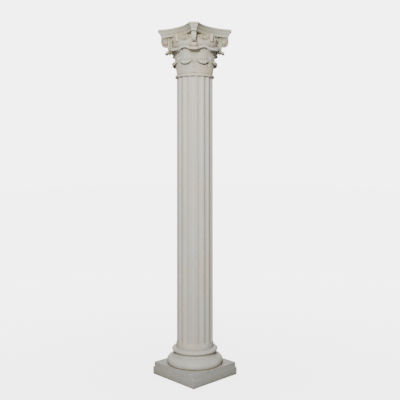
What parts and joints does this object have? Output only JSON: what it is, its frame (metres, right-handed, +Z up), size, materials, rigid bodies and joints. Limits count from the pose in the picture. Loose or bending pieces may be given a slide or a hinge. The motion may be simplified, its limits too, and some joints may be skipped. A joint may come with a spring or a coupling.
{
  "type": "column pedestal",
  "caption": "Tall fluted column standing on a stepped square plinth with turned base mouldings, topped by a carved leaf-and-scroll capital with a hollow-sided slab.",
  "frame": {"origin": "centre of the plinth's underside, where the column stands on the floor", "axes": "+Z up along the column's axis; X and Y square to the plinth's sides"},
  "size_m": [0.4272, 0.4272, 2.44],
  "materials": {
    "plinth_stone": "matte cast stone, cool grey beige",
    "base_stone": "matte cast stone, pale cream",
    "shaft_stone": "matte cast stone, pale cream",
    "capital_stone": "matte cast stone, warm cream with soft wear"
  },
  "bodies": {
    "root": {"plinth": "plinth_stone", "base": "base_stone", "shaft": "shaft_stone", "capital": "capital_stone"}
  },
  "joints": []
}
